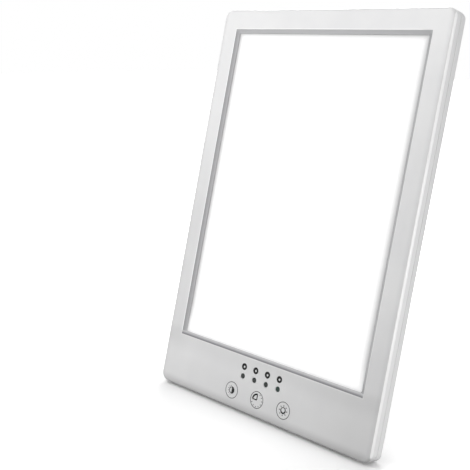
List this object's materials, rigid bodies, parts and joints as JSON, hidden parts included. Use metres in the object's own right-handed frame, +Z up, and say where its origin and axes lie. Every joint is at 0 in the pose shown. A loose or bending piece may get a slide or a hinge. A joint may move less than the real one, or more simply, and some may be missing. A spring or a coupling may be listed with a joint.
{
  "type": "light therapy lamp",
  "caption": "Slim upright light panel with a wide opal window, touch controls on its chin and a folding wire stand behind that leans it back.",
  "frame": {"origin": "on the table, on the middle plane, halfway between the panel's foremost point and the back of the stand's foot", "axes": "+X to the right as seen by the person in front of the lit window, +Y away from that person, +Z up"},
  "size_m": [0.24, 0.1098, 0.3383],
  "materials": {
    "casing_white": "fine satin moulded ABS, white",
    "casing_grey": "fine matte moulded ABS, light grey",
    "hood_white": "satin moulded ABS, off-white",
    "opal_acrylic": "matte opal acrylic, lit from behind",
    "clear_acrylic": "clear polished acrylic",
    "white_film": "white polyester film",
    "sheet_aluminium": "mill-finish sheet",
    "zinc_steel": "zinc-plated steel",
    "nickel_plate": "bright nickel plate",
    "dark_steel": "black oxide steel",
    "green_board": "green solder mask on glass-fibre board",
    "white_board": "white solder mask",
    "smoked_lens": "smoked lens, smooth",
    "led_package": "pale resin",
    "copper_pad": "lacquered copper",
    "black_plastic": "black moulded plastic",
    "lead_insulation": "red insulation",
    "black_rubber": "matte black rubber"
  },
  "bodies": {
    "panel": {"board_ribbon": "white_film", "board_screw_1": "zinc_steel", "board_screw_2": "zinc_steel", "board_screw_3": "zinc_steel", "board_screw_4": "zinc_steel", "control_board": "green_board", "dc_jack": "black_plastic", "dc_jack_pin": "zinc_steel", "diffuser_panel": "opal_acrylic", "driver_board": "green_board", "driver_capacitor": "black_plastic", "driver_coil": "copper_pad", "front_bezel": "casing_white", "heat_spreader": "sheet_aluminium", "hinge_backing_plate": "zinc_steel", "hinge_block": "dark_steel", "hinge_hood": "nickel_plate", "hinge_pin": "zinc_steel", "hinge_screw_1": "zinc_steel", "hinge_screw_2": "zinc_steel", "hinge_screw_3": "zinc_steel", "hinge_screw_4": "zinc_steel", "hood_screw_1": "zinc_steel", "hood_screw_2": "zinc_steel", "indicator_led_1": "led_package", "indicator_led_2": "led_package", "indicator_led_3": "led_package", "indicator_led_4": "led_package", "indicator_lens_1": "smoked_lens", "indicator_lens_2": "smoked_lens", "indicator_lens_3": "smoked_lens", "indicator_lens_4": "smoked_lens", "jack_hood": "hood_white", "jack_lead": "black_plastic", "lead_socket": "casing_white", "led_strip_left": "white_board", "led_strip_right": "white_board", "light_guide_plate": "clear_acrylic", "panel_lead_left": "lead_insulation", "panel_lead_right": "lead_insulation", "rear_housing": "casing_grey", "reflector_sheet": "white_film", "spreader_screw_1": "zinc_steel", "spreader_screw_2": "zinc_steel", "spreader_screw_3": "zinc_steel", "spreader_screw_4": "zinc_steel", "spreader_screw_5": "zinc_steel", "spreader_screw_6": "zinc_steel", "touch_pad_left": "copper_pad", "touch_pad_middle": "copper_pad", "touch_pad_right": "copper_pad"},
    "stand": {"stand_bail": "nickel_plate", "stand_rung": "dark_steel", "foot_sleeve": "black_rubber"}
  },
  "joints": [
    {"name": "stand_fold", "type": "hinge", "parent": "panel", "child": "stand", "pos_m": [0, 0.00712, 0.1783], "axis": [-1, 0, 0], "range_deg": [0, 27.8]}
  ]
}
